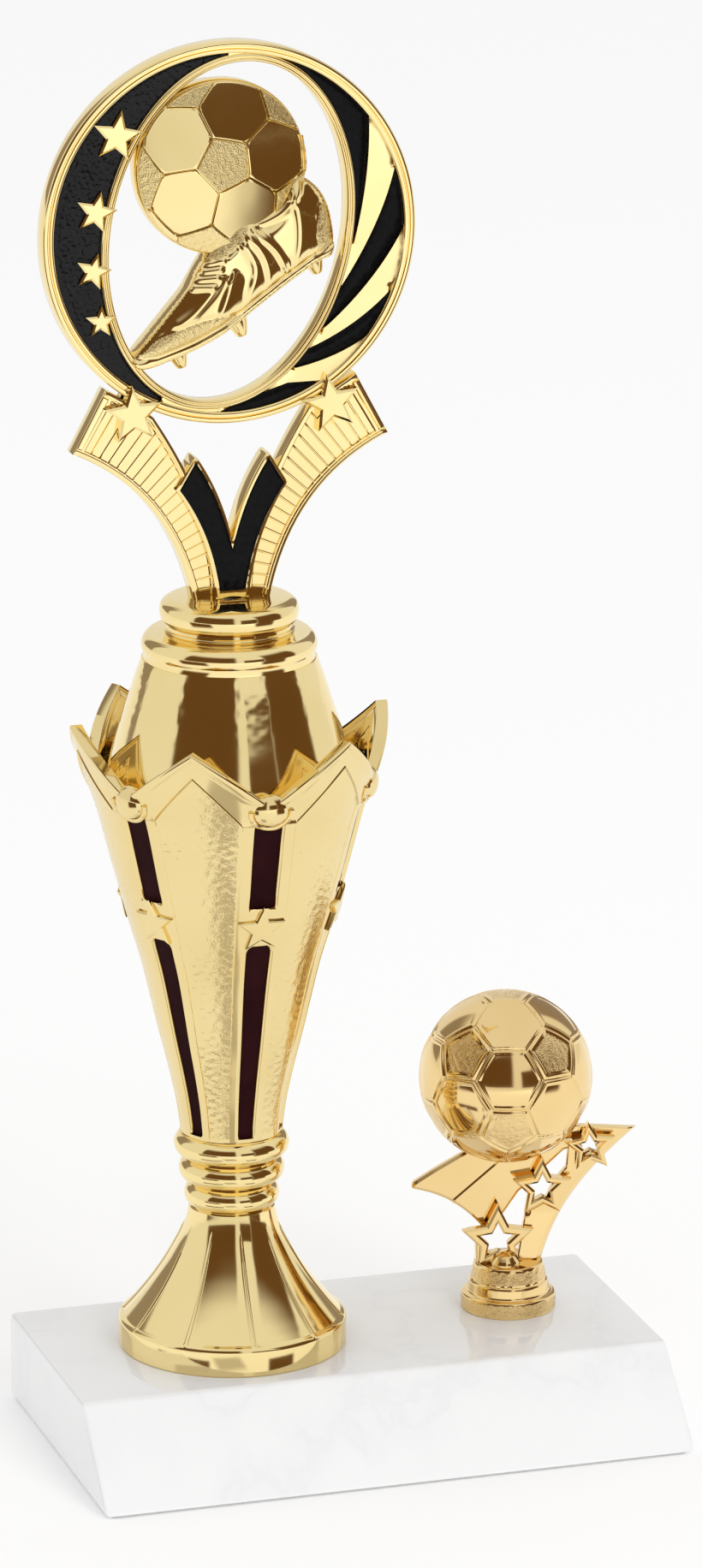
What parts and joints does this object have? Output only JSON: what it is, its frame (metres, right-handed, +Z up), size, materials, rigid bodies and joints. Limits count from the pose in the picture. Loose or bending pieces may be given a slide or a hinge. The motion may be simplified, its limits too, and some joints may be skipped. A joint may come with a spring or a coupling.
{
  "type": "figure trophy",
  "caption": "Soccer trophy: slanted marble base, tall petal cup riser, ring figure with ball and boot relief, and a small ball trim figure beside it.",
  "frame": {"origin": "centre of the base footprint, on the surface the trophy stands on", "axes": "X to the right, Y to the back, Z up; the slanted front of the base faces -Y"},
  "size_m": [0.1293, 0.0777, 0.2949],
  "materials": {
    "marble": "polished white marble with faint grey veins",
    "felt": "pressed felt",
    "gold_plating": "vacuum metallised plastic, mirror bright gold",
    "gold_inner": "smooth dark maroon plastic seen through the slots",
    "black_fill": "gloss black fill, pebbled in the widest part of the crescent",
    "zinc_steel": "bright zinc plated steel",
    "brass_insert": "turned brass"
  },
  "bodies": {
    "root": {"felt_pad": "felt", "marble_base": "marble", "rod": "zinc_steel", "rod_washer": "zinc_steel", "rod_nut": "zinc_steel", "foot": "gold_plating", "neck_beads": "gold_plating", "cup_shell": "gold_plating", "cup_stars": "gold_plating", "cup_liner": "gold_inner", "crown_dome": "gold_plating", "riser_cap": "gold_plating", "figure_plinth": "gold_plating", "figure_nut": "zinc_steel", "stem": "gold_plating", "stem_inlay": "black_fill", "ring_frame": "gold_plating", "crescent_inlay": "black_fill", "ray_inlays": "black_fill", "ring_stars": "gold_plating", "joint_stars": "gold_plating", "figure_ball": "gold_plating", "boot": "gold_plating", "trim_pedestal": "gold_plating", "trim_insert": "brass_insert", "trim_swoosh": "gold_plating", "trim_wing": "gold_plating", "trim_stars": "gold_plating", "trim_ball": "gold_plating", "trim_screw": "zinc_steel", "trim_washer": "zinc_steel"}
  },
  "joints": []
}
